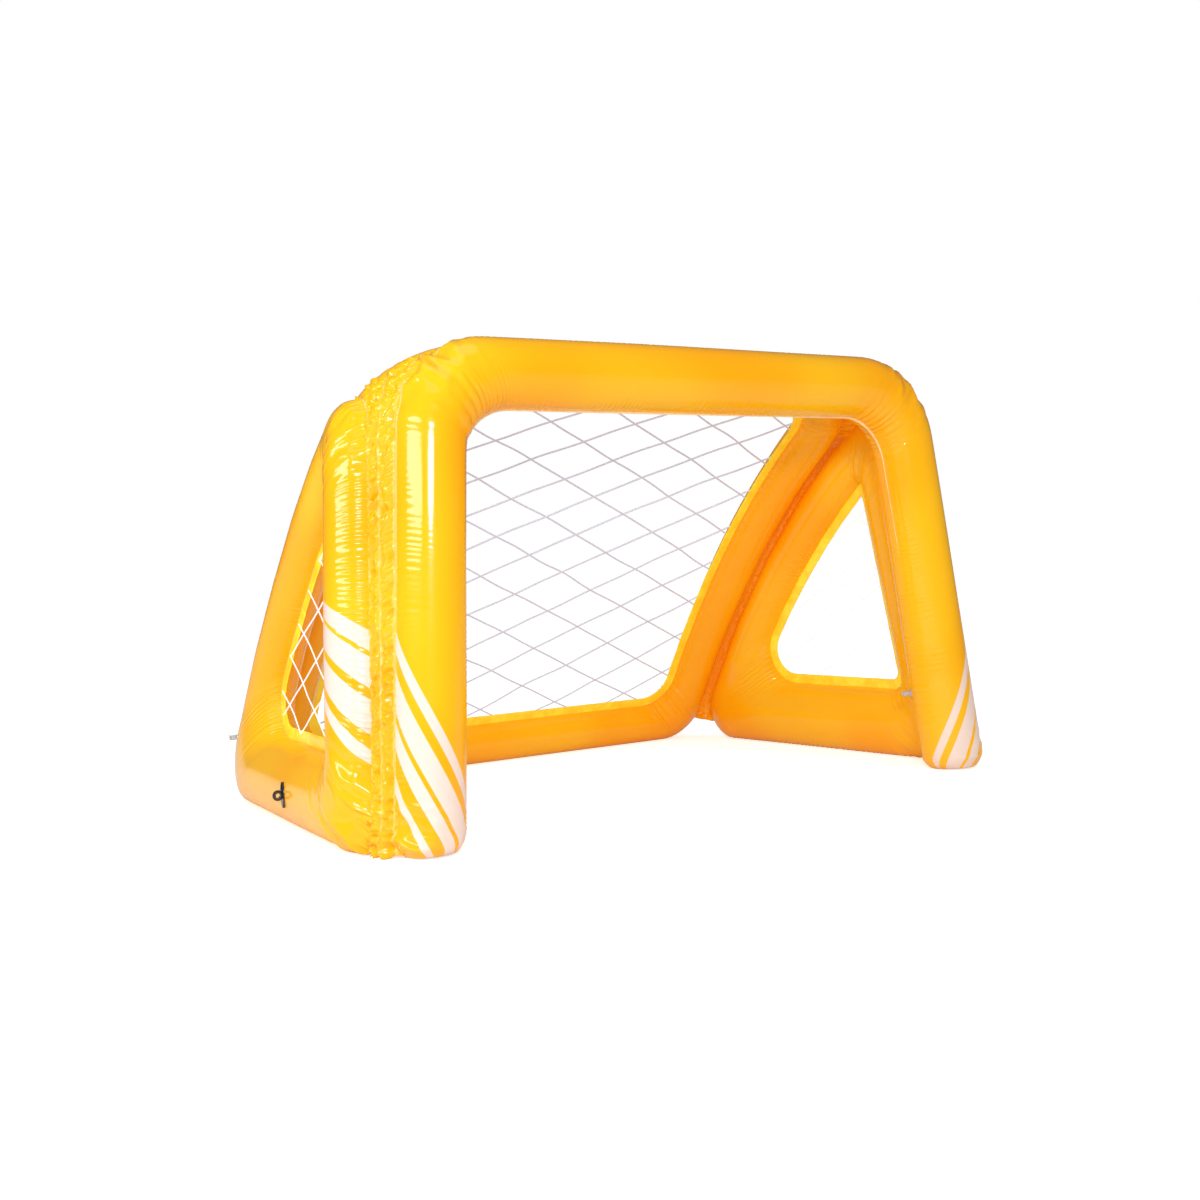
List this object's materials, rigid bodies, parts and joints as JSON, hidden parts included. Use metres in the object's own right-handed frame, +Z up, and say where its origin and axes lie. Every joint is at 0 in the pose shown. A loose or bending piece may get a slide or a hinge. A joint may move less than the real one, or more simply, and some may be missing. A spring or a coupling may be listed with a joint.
{
  "type": "water polo goal",
  "caption": "Inflatable floating goal: tubular mouth arch, sloping rear ring and triangular side rings with cord nets, press-in air valves and tether eyelets.",
  "frame": {"origin": "on the ground plane, at the centre of the goal's width and depth", "axes": "+Z up; the mouth faces -Y; +X runs across the mouth, to the right for someone who looks into it"},
  "size_m": [1.3928, 0.8894, 0.8089],
  "materials": {
    "vinyl": "glossy translucent yellow-orange vinyl",
    "weld": "double-thickness welded vinyl border, a little duller",
    "net_cord": "white cord",
    "clear_vinyl": "clear soft vinyl",
    "black_vinyl": "black satin vinyl",
    "steel": "plated eyelet"
  },
  "bodies": {
    "goal": {"front_arch": "vinyl", "rear_ring": "vinyl", "rear_net_border": "weld", "rear_net": "net_cord", "rear_valve_collar": "clear_vinyl", "side_ring_left": "vinyl", "side_net_border_left": "weld", "side_net_left": "net_cord", "seam_front_left": "weld", "seam_back_left": "weld", "left_side_valve_collar": "clear_vinyl", "tether_tab_left": "black_vinyl", "tether_grommet_left": "steel", "side_ring_right": "vinyl", "side_net_border_right": "weld", "side_net_right": "net_cord", "seam_front_right": "weld", "seam_back_right": "weld", "right_side_valve_collar": "clear_vinyl", "tether_tab_right": "black_vinyl", "tether_grommet_right": "steel", "front_valve_collar": "clear_vinyl", "seam_top": "weld"},
    "front_valve_stem": {"front_valve_stem": "clear_vinyl"},
    "front_valve_plug": {"front_valve_plug": "clear_vinyl"},
    "front_valve_flap": {"front_valve_flap": "clear_vinyl"},
    "rear_valve_stem": {"rear_valve_stem": "clear_vinyl"},
    "rear_valve_plug": {"rear_valve_plug": "clear_vinyl"},
    "rear_valve_flap": {"rear_valve_flap": "clear_vinyl"},
    "left_side_valve_stem": {"left_side_valve_stem": "clear_vinyl"},
    "left_side_valve_plug": {"left_side_valve_plug": "clear_vinyl"},
    "left_side_valve_flap": {"left_side_valve_flap": "clear_vinyl"},
    "right_side_valve_stem": {"right_side_valve_stem": "clear_vinyl"},
    "right_side_valve_plug": {"right_side_valve_plug": "clear_vinyl"},
    "right_side_valve_flap": {"right_side_valve_flap": "clear_vinyl"}
  },
  "joints": [
    {"name": "front_stem_slide", "type": "slide", "parent": "goal", "child": "front_valve_stem", "axis": [0.5358, -0.8409, 0.0757], "range_m": [0, 0.012]},
    {"name": "front_plug_hinge", "type": "hinge", "parent": "front_valve_stem", "child": "front_valve_plug", "pos_m": [0.52488, -0.3132, 0.15085], "axis": [0.8433, 0.5374, 0], "range_deg": [0, 150]},
    {"name": "front_flap_hinge", "type": "hinge", "parent": "front_valve_stem", "child": "front_valve_flap", "pos_m": [0.54267, -0.34111, 0.15076], "axis": [-0.8433, -0.5374, 0], "range_deg": [0, 35]},
    {"name": "rear_stem_slide", "type": "slide", "parent": "goal", "child": "rear_valve_stem", "axis": [-0.309, -0.8019, -0.5114], "range_m": [0, 0.012]},
    {"name": "rear_plug_hinge", "type": "hinge", "parent": "rear_valve_stem", "child": "rear_valve_plug", "pos_m": [0.51694, 0.34986, 0.24717], "axis": [0.9331, -0.3596, 0], "range_deg": [0, 150]},
    {"name": "rear_flap_hinge", "type": "hinge", "parent": "rear_valve_stem", "child": "rear_valve_flap", "pos_m": [0.50722, 0.32464, 0.22806], "axis": [-0.9331, 0.3596, 0], "range_deg": [0, 35]},
    {"name": "left_side_stem_slide", "type": "slide", "parent": "goal", "child": "left_side_valve_stem", "axis": [0.9255, -0.3617, 0.1127], "range_m": [0, 0.012]},
    {"name": "left_side_plug_hinge", "type": "hinge", "parent": "left_side_valve_stem", "child": "left_side_valve_plug", "pos_m": [-0.62115, 0.31702, 0.12726], "axis": [0.364, 0.9314, 0], "range_deg": [0, 150]},
    {"name": "left_side_flap_hinge", "type": "hinge", "parent": "left_side_valve_stem", "child": "left_side_valve_flap", "pos_m": [-0.59034, 0.30498, 0.12839], "axis": [-0.364, -0.9314, 0], "range_deg": [0, 35]},
    {"name": "right_side_stem_slide", "type": "slide", "parent": "goal", "child": "right_side_valve_stem", "axis": [-0.9255, -0.3617, 0.1127], "range_m": [0, 0.012]},
    {"name": "right_side_plug_hinge", "type": "hinge", "parent": "right_side_valve_stem", "child": "right_side_valve_plug", "pos_m": [0.62115, 0.31702, 0.12726], "axis": [0.364, -0.9314, 0], "range_deg": [0, 150]},
    {"name": "right_side_flap_hinge", "type": "hinge", "parent": "right_side_valve_stem", "child": "right_side_valve_flap", "pos_m": [0.59034, 0.30498, 0.12839], "axis": [-0.364, 0.9314, 0], "range_deg": [0, 35]}
  ]
}
